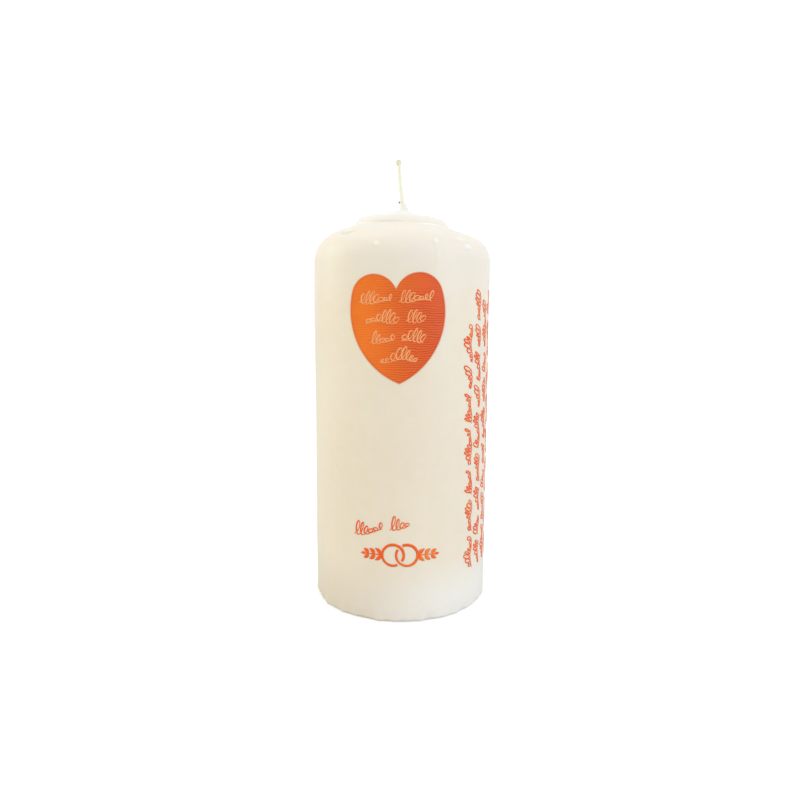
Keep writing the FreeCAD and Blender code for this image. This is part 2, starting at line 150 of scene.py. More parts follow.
# The profile's corners: radius, height, rounding.
OUTER_CORNERS = [
    (CORE_RADIUS, 0, 0),
    (RADIUS, 0, BASE_ROUND),
    (RADIUS, SHOULDER_CORNER, SHOULDER_ROUND),
    (RIM_FOOT_RADIUS, slope_height(RIM_FOOT_RADIUS), 0.9 * MM),
    (RIM_RADIUS, RIM_HEIGHT + 0.3 * MM, 0.9 * MM),
    (GROOVE_RADIUS, GROOVE_HEIGHT, 1.2 * MM),
    (CONE_RADIUS, CONE_HEIGHT, 3.0 * MM),
    (SHEATH_RADIUS, SHEATH_FOOT, 1.0 * MM),
    (SHEATH_TOP_RADIUS, WAX_TOP, 0.12 * MM),
    (MOUTH_RADIUS, WAX_TOP, 0),
]
INNER_RADIUS = CORE_RADIUS + INNER_GAP
INNER_TOP = CORE_TOP + INNER_GAP
INNER_CORNER = slope_height(INNER_RADIUS, COAT_THICKNESS) + INNER_GAP
INNER_CORNERS = [
    (MOUTH_RADIUS, INNER_TOP, 0),
    (CORE_TOP_RADIUS, INNER_TOP, 0.5 * MM),
    (INNER_RADIUS, INNER_CORNER, SHOULDER_ROUND - COAT_THICKNESS),
    (INNER_RADIUS, 0, 0),
]
OUTER_SPACING = 0.4 * MM
INNER_SPACING = 4 * MM
OUTSIDE = thinned_wall(rounded_path(OUTER_CORNERS, OUTER_SPACING))
INSIDE = rounded_path(INNER_CORNERS, INNER_SPACING)

# Sizes in the tables below are in millimetres.
# Long shallow waves in the dipped wax: turns round the candle, waves per metre of height, phase, depth.
DIP_WAVES = [
    (2, 9, 0.4, 0.07),
    (3, -14, 1.9, 0.05),
    (5, 21, 4.1, 0.03),
    (7, -33, 2.6, 0.018),
    (1, 27, 5.2, 0.03),
]
# Lumps where the wax ran together at the foot: lumps round the candle, phase, depth.
FOOT_LUMPS = [(5, 0.6, 0.08), (9, 2.2, 0.10), (16, 4.4, 0.13), (27, 1.1, 0.13), (41, 3.0, 0.11)]
# Waves along the rim: waves round the candle, phase, height.
RIM_WAVES = [(3, 0.9, 0.08), (5, 4.0, 0.06), (9, 1.7, 0.05)]
# Small bumps on the shoulder, and a run of wax under one: azimuth, drop from the wax's top, half width,
# half length, lift.
BUMPS = [
    (-12.8, 16.7, 0.9, 0.7, 0.38),
    (23.0, 15.7, 0.8, 0.7, 0.38),
    (23.6, 19.8, 0.7, 3.4, 0.13),
    (46.5, 16.8, 1.8, 0.8, 0.38),
    (43.0, 14.6, 3.0, 0.6, 0.26),
    (-128.0, 16.6, 0.9, 0.8, 0.25),
    (150.0, 17.6, 0.8, 1.6, 0.16),
    (104.0, 15.6, 1.2, 0.8, 0.2),
]
# Laps of wax outside the rim's foot: azimuth, half width in degrees round the candle, lift.
LAPS = [(-44, 12, 0.5), (34, 18, 0.4), (120, 20, 0.6), (196, 15, 0.4)]


def hill(distance, reach):
    """A bell curve: 1 at no distance, falling off over the reach."""
    return np.exp(-((distance / reach) ** 2))


def turn_from(azimuth, degrees):
    """Angle between an azimuth and a place given in degrees, from minus half a turn to half a turn."""
    return (azimuth - math.radians(degrees) + math.pi) % (2 * math.pi) - math.pi


def dip_unevenness(azimuth, height):
    """How far the dipped wax stands in or out along its own normal."""
    foot_reach, foot_edge, foot_sink = 4.5 * MM, 0.12 * MM, 0.2
    depth = 0
    for turns, per_metre, phase, size in DIP_WAVES:
        depth = depth + size * MM * np.sin(turns * azimuth + 2 * math.pi * per_metre * height + phase)
    lumps = sum(size * np.sin(count * azimuth + phase) for count, phase, size in FOOT_LUMPS)
    near_foot = smooth_step(1 - height / foot_reach) * smooth_step(height / foot_edge)
    return depth + (lumps - foot_sink) * MM * near_foot


def bumps_and_laps(azimuth, radius, height):
    """Small bumps on the shoulder and laps of wax outside the rim's foot."""
    lap_radius, lap_reach = RIM_FOOT_RADIUS + 1.2 * MM, 1.3 * MM
    lift = 0
    for degrees, drop, half_width, half_length, size in BUMPS:
        across = hill(turn_from(azimuth, degrees) * radius, half_width * MM)
        along = hill(height - (WAX_TOP - drop * MM), half_length * MM)
        lift = lift + size * MM * across * along
    for degrees, half_width, size in LAPS:
        around = hill(turn_from(azimuth, degrees), math.radians(half_width))
        lift = lift + size * MM * around * hill(radius - lap_radius, lap_reach)
    return lift


def bent_crease(azimuth, radius):
    """A short bent crease on the left of the shoulder: a lip with a furrow outside it."""
    degrees, middle, bend = -40, 25.0 * MM, 12 * MM
    half_length, lift = 3.0 * MM, 0.34 * MM
    along = turn_from(azimuth, degrees) * radius
    across = radius - middle + along**2 / bend
    lip = hill(across, 0.55 * MM)
    furrow = hill(across - 1.2 * MM, 0.6 * MM)
    return lift * hill(along, half_length) * (lip - furrow)


def rim_crease(azimuth, radius):
    """A shallow crease round the front of the rim's foot."""
    degrees, half_width = -16, math.radians(30)
    depth, reach = 0.17 * MM, 0.35 * MM
    around = hill(turn_from(azimuth, degrees), half_width)
    return -depth * around * hill(radius - RIM_FOOT_RADIUS, reach)


def shoulder_relief(azimuth, radius, height):
    """All that stands out of or sinks into the smooth shoulder, as lift along the wax's normal."""
    lift = bumps_and_laps(azimuth, radius, height)
    return lift + bent_crease(azimuth, radius) + rim_crease(azimuth, radius)


def top_rise(azimuth, radius):
    """Extra height inside the shoulder: a slight tilt, an uneven rim and a web of wax left of the wick."""
    fade, tilt, rim_reach = 9 * MM, 0.03, 2 * MM
    web_height, web_radius, web_reach = 1.0 * MM, 4 * MM, 3 * MM
    inside = smooth_step((RADIUS - radius) / fade)
    leftward = -np.sin(azimuth)
    waves = sum(size * MM * np.sin(count * azimuth + phase) for count, phase, size in RIM_WAVES)
    web = web_height * hill(radius - web_radius, web_reach) * np.maximum(leftward, 0)
    return inside * (tilt * radius * leftward + waves * hill(radius - RIM_RADIUS, rim_reach) + web)


def normals_of(path):
    """Unit normals (radius, height) on the outer side of a path that climbs the wax."""
    along = np.gradient(path, axis=0)
    normal = np.stack([along[:, 1], -along[:, 0]], 1)
    return normal / np.linalg.norm(normal, axis=1)[:, None]


def wall_points(azimuth, height, proud):
    """Points a distance proud of the candle's upright wall, at azimuths and heights."""
    radius = RADIUS + proud + dip_unevenness(azimuth, height)
    return np.stack([radius * np.sin(azimuth), -radius * np.cos(azimuth), height], -1)


def wick_x(height):
    """Sideways place of the wick's centre: slanting up through the mound, then nearly upright."""
    over_top, places = np.array(WICK_LINE).T * MM
    heights = WAX_TOP + over_top
    in_core = smooth_step(height / heights[0]) * places[0]
    return np.where(height < heights[0], in_core, np.interp(height, heights, places))


# ---------------------------------------------------------------- mesh helpers


class Heap:
    """Points and faces of several closed forms that make one piece."""

    def __init__(self):
        self.points = []
        self.faces = []

    def add(self, points, faces):
        start = len(self.points)
        self.points += [tuple(point) for point in points]
        self.faces += [tuple(start + corner for corner in face) for face in faces]


def make_piece(name, heap, material, node):
    """A mesh that rides on the candle, has the given material as its finish and stands for a node, which it
    hides.
    """
    mesh = bpy.data.meshes.new(name)
    mesh.from_pydata(heap.points, [], heap.faces)
    shell = bmesh.new()
    shell.from_mesh(mesh)
    bmesh.ops.recalc_face_normals(shell, faces=shell.faces)
    shell.to_mesh(mesh)
    shell.free()
    mesh.materials.append(material)
    mesh.shade_smooth()
    piece = bpy.data.objects.new(name, mesh)
    bpy.context.scene.collection.objects.link(piece)
    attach(piece, "root")
    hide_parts(node)
    return piece


def store_on(piece, name, values):
    """Store a number at each point of a piece for its material to read."""
    attribute = piece.data.attributes.new(name, "FLOAT", "POINT")
    attribute.data.foreach_set("value", np.asarray(values, dtype=np.float32))


def grid_faces(rows, columns, close_rows=False, close_columns=False):
    """Quads over a grid of points stored row by row."""
    faces = []
    for row in range(rows if close_rows else rows - 1):
        for column in range(columns if close_columns else columns - 1):
            after, beside = (row + 1) % rows, (column + 1) % columns
            corners = (row, column), (row, beside), (after, beside), (after, column)
            faces.append(tuple(r * columns + c for r, c in corners))
    return faces


def tube(heap, path, radii, sides):
    """A closed round tube along a path that mostly climbs."""
    path = np.array(path)
    along = np.gradient(path, axis=0)
    along /= np.linalg.norm(along, axis=1)[:, None]
    across = np.cross(along, (0, 1, 0))
    across /= np.linalg.norm(across, axis=1)[:, None]
    third = np.cross(along, across)
    angles = np.linspace(0, 2 * math.pi, sides, endpoint=False)
    ring = np.cos(angles)[:, None, None] * across + np.sin(angles)[:, None, None] * third
    points = (path + ring * np.array(radii)[:, None]).transpose(1, 0, 2).reshape(-1, 3)
    faces = grid_faces(len(path), sides, close_columns=True)
    last = (len(path) - 1) * sides
    faces.append(tuple(range(sides))[::-1])
    faces.append(tuple(range(last, last + sides)))
    heap.add(points, faces)


# Ink is a thin film that floats just off the wax.
INK = 0.06 * MM
INK_GAP = 0.004 * MM


def film(heap, sheet, close_columns=False, layer=0, turned=0.0):
    """Wrap a grid of sheet points (rows, columns, 2) on the wax as a thin closed film of ink."""
    rows, columns = sheet.shape[:2]
    azimuth = np.arcsin(np.clip(sheet[..., 0] / RADIUS, -1, 1)) + turned
    height = sheet[..., 1]
    under = wall_points(azimuth, height, INK_GAP + layer * (INK + INK_GAP)).reshape(-1, 3)
    over = wall_points(azimuth, height, (layer + 1) * (INK + INK_GAP)).reshape(-1, 3)
    count = rows * columns
    lower = grid_faces(rows, columns, close_columns=close_columns)
    upper = [tuple(count + corner for corner in face)[::-1] for face in lower]
    edge = list(range((rows - 1) * columns, rows * columns))
    if close_columns:
        rims = [edge + edge[:1], list(range(columns))[::-1] + [columns - 1]]
    else:
        around = list(range(columns)) + [row * columns + columns - 1 for row in range(1, rows)]
        around += edge[-2::-1] + [row * columns for row in range(rows - 2, -1, -1)]
        rims = [around]
    walls = [(a, b, b + count, a + count) for rim in rims for a, b in zip(rim, rim[1:])]
    heap.add(np.concatenate([under, over]), [*lower, *upper, *walls])


# ---------------------------------------------------------------- pen work

# Pen loops lean to the right.
SLANT = math.radians(22)
# Keeps a pen that stands still from dividing by nothing.
TINY = 1e-12


def pen_widths(path, width):
    """Pen pressure: full on the way down, lighter on the way up, drawn out at both ends."""
    light, firmer, tip = 0.62, 0.5, 0.25
    taper = 1.6 * width
    along = np.gradient(path, axis=0)
    speed = np.linalg.norm(along, axis=1) + TINY
    down = smooth_step(0.5 - 0.5 * along[:, 1] / speed)
    walked = np.cumsum(speed)
    to_end = np.minimum(walked, walked[-1] - walked)
    return width * (light + firmer * down) * (tip + (1 - tip) * smooth_step(to_end / taper))


def ribbon(heap, path, widths, **placing):
    """Ink a path with a ribbon of the widths given along it."""
    along = np.gradient(path, axis=0)
    along /= np.linalg.norm(along, axis=1)[:, None] + TINY
    side = np.stack([-along[:, 1], along[:, 0]], 1) * widths[:, None] / 2
    film(heap, np.stack([path - side, path, path + side], 1), **placing)


def scribble(dice, length, body):
    """Runs of pen loops that swell and fade and spell nothing, as paths from x = 0 to length."""
    fewest, most, shortest = 5, 9, 4
    points_per_loop = 28
    step, gap = 0.62 * body, body
    groups = []
    start = 0.0
    while start < length - 3 * step:
        room = int((length - start) / step)
        loops = dice.randint(fewest, most)
        if room - loops < shortest:
            loops = room
        swell, sway = dice.uniform(0, 2 * math.pi), dice.uniform(0, 2 * math.pi)
        along = np.linspace(0, loops, points_per_loop * loops)
        turn = 2 * math.pi * along
        reach = body * (1.05 + 0.65 * np.sin(0.95 * along + swell))
        curl = 3.9 + 1.0 * np.sin(1.3 * along + sway)
        across = start + step * (along + curl * np.sin(turn) / (2 * math.pi))
        drift = 0.2 * body * np.sin(0.9 * along + sway)
        rise = reach * (1 - np.cos(turn)) / 2 + drift
        groups.append(np.stack([across + rise * math.tan(SLANT), rise], 1))
        start += loops * step + gap
    return groups


def laid(path, start, slope):
    """Turn a pen path by a slope and move it to its start."""
    turn = np.array([[math.cos(slope), math.sin(slope)], [-math.sin(slope), math.cos(slope)]])
    return path @ turn + np.array(start)


# ---------------------------------------------------------------- materials


def tint(red, green, blue):
    """A display colour, 0 to 255, as the linear colour that nodes use."""
    return tuple((part / 255) ** 2.2 for part in (red, green, blue)) + (1.0,)


def set_inputs(node, **values):
    """Set inputs of a node by name, with _ for each space."""
    for socket, value in values.items():
        node.inputs[socket.replace("_", " ")].default_value = value


class Paint:
    """A Principled material and short ways to add procedural nodes to it."""

    def __init__(self, name, **inputs):
        self.material = bpy.data.materials.new(name)
        self.material.use_nodes = True
        self.nodes = self.material.node_tree.nodes
        self.links = self.material.node_tree.links
        self.shader = self.nodes["Principled BSDF"]
        set_inputs(self.shader, **inputs)
        self.place = self.add("ShaderNodeTexCoord").outputs["Object"]

    def add(self, kind, **settings):
        node = self.nodes.new(kind)
        for key, value in settings.items():
            setattr(node, key, value)
        return node

    def feed(self, socket, value):
        """Link a socket, or set its value."""
        if isinstance(value, bpy.types.NodeSocket):
            self.links.new(value, socket)
        else:
            socket.default_value = value

    def stretched(self, scale):
        mapping = self.add("ShaderNodeMapping")
        self.links.new(self.place, mapping.inputs["Vector"])
        set_inputs(mapping, Scale=scale)
        return mapping.outputs["Vector"]

    def noise(self, scale, detail=3.0, roughness=0.5, place=None, distortion=0.0):
        node = self.add("ShaderNodeTexNoise")
        self.links.new(place or self.place, node.inputs["Vector"])
        set_inputs(node, Scale=scale, Detail=detail, Roughness=roughness, Distortion=distortion)
        return node.outputs["Fac"]

    def cells(self, scale, output="Distance"):
        node = self.add("ShaderNodeTexVoronoi")
        self.links.new(self.place, node.inputs["Vector"])
        set_inputs(node, Scale=scale)
        return node.outputs[output]

    def stored(self, name):
        """A number stored at the piece's points."""
        return self.add("ShaderNodeAttribute", attribute_name=name).outputs["Fac"]

    def spread(self, value, low, high, to_low=0.0, to_high=1.0):
        """Stretch a value's range from low..high to another, clamped and eased at both ends."""
        node = self.add("ShaderNodeMapRange", interpolation_type="SMOOTHSTEP")
        self.feed(node.inputs["Value"], value)
        set_inputs(node, From_Min=low, From_Max=high, To_Min=to_low, To_Max=to_high)
        return node.outputs["Result"]

    def product(self, first, second):
        node = self.add("ShaderNodeMath", operation="MULTIPLY")
        self.feed(node.inputs[0], first)
        self.feed(node.inputs[1], second)
        return node.outputs[0]

    def mix(self, share, first, second):
        """A colour between two. Mix nodes have their colour sockets at 6 and 7, and the result at 2."""
        node = self.add("ShaderNodeMix", data_type="RGBA")
        self.feed(node.inputs[0], share)
        self.feed(node.inputs[6], first)
        self.feed(node.inputs[7], second)
        return node.outputs[2]

    def axis(self, name):
        node = self.add("ShaderNodeSeparateXYZ")
        self.links.new(self.place, node.inputs[0])
        return node.outputs[name]

    def bump(self, height, distance, strength=1.0, under=None):
        node = self.add("ShaderNodeBump")
        self.feed(node.inputs["Height"], height)
        set_inputs(node, Distance=distance, Strength=strength)
        if under:
            self.links.new(under, node.inputs["Normal"])
        return node.outputs["Normal"]

    def finish(self, colour=None, roughness=None, normal=None):
        for socket, value in (("Base Color", colour), ("Roughness", roughness), ("Normal", normal)):
            if value is not None:
                self.feed(self.shader.inputs[socket], value)
        return self.material


def clouded_ivory(paint):
    """Faintly clouded ivory with a few dark specks."""
    clouds = paint.spread(paint.noise(26, 2.0), 0.3, 0.7)
    colour = paint.mix(clouds, tint(242, 228, 203), tint(245, 232, 209))
    fine = paint.spread(paint.noise(260, 4.0, 0.6), 0.3, 0.75, 0.0, 0.25)
    colour = paint.mix(fine, colour, tint(250, 239, 220))
    few_cells = paint.spread(paint.cells(120, "Color"), 0.80, 0.82, 0.0, 0.5)
    speck = paint.product(paint.spread(paint.cells(120), 0.05, 0.02), few_cells)
    return paint.mix(speck, colour, tint(158, 138, 100))


def painted_light_and_shade(paint, colour):
    """Painted light: paler towards the top, where light from above falls, a painted highlight on the rim,
    and low down painted shade on the left and a painted highlight on the right.
    """
    up = paint.axis("Z")
    # Painted light from above: the wax is painted paler towards the top.
    upper = paint.spread(up, WAX_TOP - 38 * MM, WAX_TOP - 14 * MM, 0.0, 0.75)
    colour = paint.mix(upper, colour, tint(245, 236, 221))
    # Painted highlight along the rim's bead.
    rim = paint.spread(up, WAX_TOP - 8.5 * MM, WAX_TOP - 5.5 * MM, 0.0, 0.8)
    colour = paint.mix(rim, colour, tint(250, 246, 238))
    # Low down: painted shade on the left and a painted highlight on the right.
    rightward = paint.spread(paint.axis("X"), -0.8 * RADIUS, 0.6 * RADIUS)
    painted_foot_light = paint.mix(rightward, tint(227, 215, 195), tint(254, 248, 239))
    low = paint.spread(up, 22 * MM, 5 * MM, 0.0, 0.7)
    return paint.mix(low, colour, painted_foot_light)


def painted_relief_shading(paint, colour):
    """Painted highlights on raised wax and painted shade in sunk wax, so that the low bumps and creases
    show.
    """
    relief = paint.stored("relief")
    bump_highlight = paint.spread(relief, 0.06 * MM, 0.34 * MM, 0.0, 0.7)
    colour = paint.mix(bump_highlight, colour, tint(255, 252, 244))
    crease_shade = paint.spread(relief, -0.03 * MM, -0.2 * MM, 0.0, 0.35)
    return paint.mix(crease_shade, colour, tint(206, 203, 194))


def dipped_wax():
    """Ivory dipped wax: satin, with a faintly uneven skin and a gritty foot."""
    paint = Paint(
        "dipped_wax",
        Subsurface_Weight=0.5,
        Subsurface_Radius=(1.0, 0.7, 0.45),
        Subsurface_Scale=0.9 * MM,
        IOR=1.44,
        Coat_Weight=0.15,
        Coat_Roughness=0.2,
    )
    # The colour carries painted light: a paler top and rim, painted shade and a painted highlight low down,
    # and painted highlights and shade on the bumps and creases.
    colour = painted_relief_shading(paint, painted_light_and_shade(paint, clouded_ivory(paint)))
    roughness = paint.spread(paint.noise(90, 2.0), 0.3, 0.7, 0.31, 0.42)
    near_foot = paint.spread(paint.axis("Z"), 14 * MM, 2 * MM)
    grit = paint.bump(paint.product(paint.noise(340, 3.0, 0.6), near_foot), 0.22 * MM)
    skin = paint.bump(paint.noise(380, 3.0, 0.55), 0.03 * MM, under=grit)
    return paint.finish(colour, roughness, skin)


def pressed_wax():
    """Pressed wax grains, dull and paler than the dipped coat."""
    paint = Paint("pressed_wax", Subsurface_Weight=0.3, Subsurface_Scale=0.8 * MM, IOR=1.44)
    grains_per_metre = 900
    grains = paint.cells(grains_per_metre)
    shade = paint.spread(paint.cells(grains_per_metre, "Color"), 0.0, 1.0)
    colour = paint.mix(shade, tint(239, 230, 210), tint(245, 237, 220))
    colour = paint.mix(paint.spread(grains, 0.45, 0.75), colour, tint(231, 220, 198))
    roughness = paint.spread(paint.noise(300), 0.3, 0.7, 0.55, 0.7)
    return paint.finish(colour, roughness, paint.bump(grains, 0.12 * MM, 0.8))


def level_ripples(paint):
    """Fine level ripples, as a value between 0 and 1."""
    ripple = paint.add("ShaderNodeTexWave", bands_direction="Z", wave_profile="SIN")
    paint.links.new(paint.stretched((0.55, 0.55, 1.0)), ripple.inputs["Vector"])
    set_inputs(ripple, Scale=440, Distortion=4.5, Detail=3.0, Detail_Scale=1.2)
    return ripple.outputs["Fac"]


def heart_ink():
    """Orange ink that reddens to the right, with fine ripples, a darker outline and a thin pale fringe."""
    paint = Paint("heart_ink", Specular_IOR_Level=0.25)
    half_width = heart_high.x
    rightward = paint.spread(paint.axis("X"), -half_width, half_width)
    colour = paint.mix(rightward, tint(253, 128, 34), tint(234, 94, 48))
    blotches = paint.spread(paint.noise(120, 4.0, 0.6), 0.35, 0.7, 0.0, 0.4)
    colour = paint.mix(blotches, colour, tint(226, 104, 34))
    ripples = level_ripples(paint)
    crests = paint.spread(ripples, 0.58, 0.92)
    patches = paint.spread(paint.noise(75, 2.0, place=paint.stretched((0.5, 0.5, 1.4))), 0.24, 0.5)
    stronger = paint.spread(rightward, 0.0, 1.0, 0.2, 1.0)
    colour = paint.mix(paint.product(crests, paint.product(patches, stronger)), colour, tint(196, 70, 34))
    to_edge = paint.stored("to_edge")
    outline = paint.spread(to_edge, 0.75 * MM, 0.35 * MM, 0.0, 0.35)
    colour = paint.mix(outline, colour, tint(206, 78, 24))
    fringe = paint.spread(to_edge, 0.3 * MM, 0.05 * MM, 0.0, 0.8)
    colour = paint.mix(fringe, colour, tint(250, 196, 160))
    roughness = paint.spread(paint.noise(200), 0.3, 0.7, 0.34, 0.5)
    rippled = paint.bump(ripples, 0.012 * MM, 0.7)
    return paint.finish(colour, roughness, paint.bump(paint.noise(700), 0.01 * MM, 0.6, rippled))


def pen_ink(name, full, thin, patch_scale=140):
    """Pen ink that is thin in patches."""
    paint = Paint(name, IOR=1.46)
    weak = paint.spread(paint.noise(patch_scale, 4.0, 0.65), 0.42, 0.74)
    roughness = paint.spread(paint.noise(500), 0.3, 0.7, 0.38, 0.56)
    grain = paint.bump(paint.noise(2600, 2.0), 0.008 * MM, 0.6)
    return paint.finish(paint.mix(weak, full, thin), roughness, grain)


def cotton():
    """Waxed cotton plies, cream at the foot and a little yellower towards the tip."""
    paint = Paint("waxed_cotton", IOR=1.45)
    upward = paint.spread(paint.axis("Z"), WAX_TOP, wick_high.z)
    colour = paint.mix(upward, tint(255, 252, 232), tint(255, 251, 222))
    fibre = paint.noise(2600, 4.0, 0.7, paint.stretched((1, 1, 0.35)))
    colour = paint.mix(paint.spread(fibre, 0.35, 0.7, 0.0, 0.3), colour, tint(244, 238, 200))
    roughness = paint.spread(fibre, 0.3, 0.7, 0.42, 0.7)
    return paint.finish(colour, roughness, paint.bump(fibre, 0.05 * MM, 0.8))


def bead_wax():
    """Olive wax that ran to the wick's tip."""
    paint = Paint("bead_wax", IOR=1.45, Coat_Weight=0.2)
    swirl = paint.spread(paint.noise(900, 3.0, 0.6, distortion=1.0), 0.4, 0.62)
    colour = paint.mix(swirl, tint(206, 202, 150), tint(254, 250, 222))
    return paint.finish(colour, 0.32, paint.bump(paint.noise(1500, 3.0), 0.05 * MM, 0.7))


def dark_lump_wax():
    """Dark dull wax of uneven shade."""
    paint = Paint("dark_lump_wax", IOR=1.45)
    shade = paint.spread(paint.noise(2400), 0.35, 0.65)
    return paint.finish(paint.mix(shade, tint(112, 108, 86), tint(150, 145, 118)), 0.6)


def tinplate():
    """Rolled tinned steel."""
    paint = Paint("tinplate", Metallic=1.0)
    rolling = paint.noise(90, 4.0, 0.7, paint.stretched((1, 28, 1)))
    colour = paint.mix(paint.spread(rolling, 0.3, 0.7), tint(188, 190, 192), tint(214, 215, 214))
    return paint.finish(colour, paint.spread(rolling, 0.3, 0.7, 0.25, 0.42), paint.bump(rolling, 0.01 * MM))


def label_paper():
    """Blank uncoated paper."""
    paint = Paint("label_paper", IOR=1.4)
    fibres = paint.noise(1300, 5.0, 0.7, paint.stretched((1, 0.5, 1)), 1.0)
    colour = paint.mix(paint.spread(fibres, 0.35, 0.68), tint(238, 237, 231), tint(250, 249, 245))
    return paint.finish(colour, 0.85, paint.bump(fibres, 0.02 * MM))


# ---------------------------------------------------------------- pieces


COAT_SEGMENTS = 320


def ring_of(azimuth, reach, rise, sideways):
    """A ring of points round the candle, moved sideways."""
    return np.stack([reach * np.sin(azimuth) + sideways, -reach * np.cos(azimuth), rise], 1)


def build_coat():
    """The dipped coat as a closed shell: uneven outside, true inside."""
    lean_start, lean_fade = CONE_RADIUS + 1.6 * MM, 2.4 * MM
    azimuth = np.linspace(0, 2 * math.pi, COAT_SEGMENTS, endpoint=False)
    rings = []
    relief = []
    for index, ((radius, height), (out, up)) in enumerate(zip(OUTSIDE, normals_of(OUTSIDE))):
        waves = np.zeros(COAT_SEGMENTS)
        bumps = np.zeros(COAT_SEGMENTS)
        if 0 < index < len(OUTSIDE) - 1 and radius > SHEATH_RADIUS:
            waves = dip_unevenness(azimuth, height)
            bumps = shoulder_relief(azimuth, radius, height)
        relief.append(bumps)
        lift = waves + bumps
        rise = height + up * lift
        sideways = 0.0
        if height > WALL_TOP:
            rise = rise + top_rise(azimuth, radius)
            sideways = wick_x(height) * smooth_step((lean_start - radius) / lean_fade)
        rings.append(ring_of(azimuth, radius + out * lift, np.maximum(rise, 0), sideways))
    for radius, height in INSIDE[:-1]:
        sideways = wick_x(height) if radius < CONE_RADIUS else 0.0
        rings.append(ring_of(azimuth, radius, np.full(COAT_SEGMENTS, height), sideways))
    heap = Heap()
    faces = grid_faces(len(rings), COAT_SEGMENTS, close_rows=True, close_columns=True)
    heap.add(np.concatenate(rings), faces)
    coat = make_piece("dipped_coat", heap, dipped_wax(), "overdip_coat")
    inner_points = (len(rings) - len(OUTSIDE)) * COAT_SEGMENTS
    # The wax's material reads this relief for painted highlights on the bumps and painted shade in the
    # creases.
    store_on(coat, "relief", np.concatenate([*relief, np.zeros(inner_points)]))


HEART_TILT = math.radians(2.2)


def heart_outline():
    """The heart's edge as sheet points, from the point round the right lobe, the notch and back."""
    flank_steps, lobe_steps = 70, 26
    half_width = heart_high.x
    point, top = heart_low.z, heart_high.z
    wide = top - 11.5 * MM
    notch = top - 4.9 * MM
    lobe_x = 0.49 * half_width
    flank = half_width / 2 + (wide - point) ** 2 / (2 * half_width)
    rise, inset = top - wide, half_width - lobe_x
    lobe = (2 * inset * flank - inset**2 - rise**2) / (2 * (flank - rise))
    inner = (lobe_x**2 + (top - notch) ** 2) / (2 * (top - notch))
    lean = math.atan((rise - lobe) / (flank - inset))

    def arc(centre_x, centre_z, radius, first, last, steps):
        angles = np.linspace(first, last, steps, endpoint=False)
        return np.stack([centre_x + radius * np.cos(angles), centre_z + radius * np.sin(angles)], 1)

    from_point = -math.asin((wide - point) / flank)
    to_notch = math.pi - math.asin((notch - (top - inner)) / inner)
    right = np.concatenate(
        [
            arc(half_width - flank, wide, flank, from_point, lean, flank_steps),
            arc(lobe_x, top - lobe, lobe, lean, math.pi / 2, lobe_steps),
            arc(lobe_x, top - inner, inner, math.pi / 2, to_notch, lobe_steps),
        ]
    )
    left = right[1:][::-1] * (-1, 1)
    return np.concatenate([right, [(0, notch)], left])


def is_inner_wall(face, columns, count):
    """True for a wall between the two innermost rings, which the caps replace."""
    return len(face) == 4 and all(corner % count < columns for corner in face)


def build_heart():
    """The heart's ink, as rings that shrink from the edge to the middle."""
    middle = np.array([0, heart_low.z + 0.56 * (heart_high.z - heart_low.z)])
    edge = laid(heart_outline() - middle, middle, HEART_TILT)
    # The rings lie closer together near the edge, where the ink changes.
    shares = np.concatenate([[0.02], np.linspace(0.08, 0.9, 16), np.linspace(0.93, 1.0, 8)])
    sheet = middle + shares[:, None, None] * (edge - middle)
    heap = Heap()
    film(heap, sheet, close_columns=True)
    columns = len(edge)
    count = len(shares) * columns
    heap.faces.append(tuple(range(columns))[::-1])
    heap.faces.append(tuple(range(count, count + columns)))
    heap.faces = [face for face in heap.faces if not is_inner_wall(face, columns, count)]
    heart = make_piece("heart_ink_film", heap, heart_ink(), "heart_print")
    # The way out from the middle mostly meets the edge at a slant, so the edge is nearer than it says.
    slant = 0.8
    way_out = np.linalg.norm(edge - middle, axis=1)
    to_edge = ((1 - shares)[:, None] * way_out * slant).reshape(-1)
    store_on(heart, "to_edge", np.concatenate([to_edge, to_edge]))


# Pen lines on the heart: how far left each starts and its length, as shares of half the heart's width, and
# how far its start lies under the heart's top, in millimetres.
HEART_LINES = [(0.81, 1.58, 9.1), (0.67, 1.30, 15.1), (0.57, 1.13, 21.0), (0.36, 0.84, 26.7)]
# Lengths of the side lines, as shares of the height that they have.
SIDE_LINES = [0.88, 1.0, 0.96, 1.0, 0.76]


def write_row(heap, dice, length, body, start, slope, width, **placing):
    """Ink a row of pen loops from a start, rising by a slope."""
    for path in scribble(dice, length, body):
        laid_path = laid(path, start, slope)
        ribbon(heap, laid_path, pen_widths(laid_path, width), **placing)


def build_heart_pen():
    """Four lines of pale pen loops on the heart, nearly level."""
    body, slope, width = 2.3 * MM, math.radians(2), 0.38 * MM
    half_width, top = heart_high.x, heart_high.z
    dice = random.Random(SEED)
    heap = Heap()
    for left, length, drop in HEART_LINES:
        start = (-left * half_width, top - drop * MM)
        write_row(heap, dice, length * half_width, body, start, slope, width, layer=1)
    ink = pen_ink("pale_pen_ink", tint(255, 174, 110), tint(250, 144, 80))
    make_piece("heart_pen_strokes", heap, ink, "heart_pen_lines")


def build_side_pen(ink):
    """Five upright lines of pen loops round the right side."""
    body, slope, width = 2.1 * MM, math.radians(91.5), 0.5 * MM
    first_azimuth, azimuth_step = 54.4, 10
    low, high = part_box("side_pen_lines")
    dice = random.Random(SEED + 4)
    heap = Heap()
    for index, share in enumerate(SIDE_LINES):
        azimuth = math.radians(first_azimuth + azimuth_step * index)
        length = (high.z - low.z) * share
        write_row(heap, dice, length, body, (0, low.z), slope, width, turned=azimuth)
    make_piece("side_pen_strokes", heap, ink, "side_pen_lines")


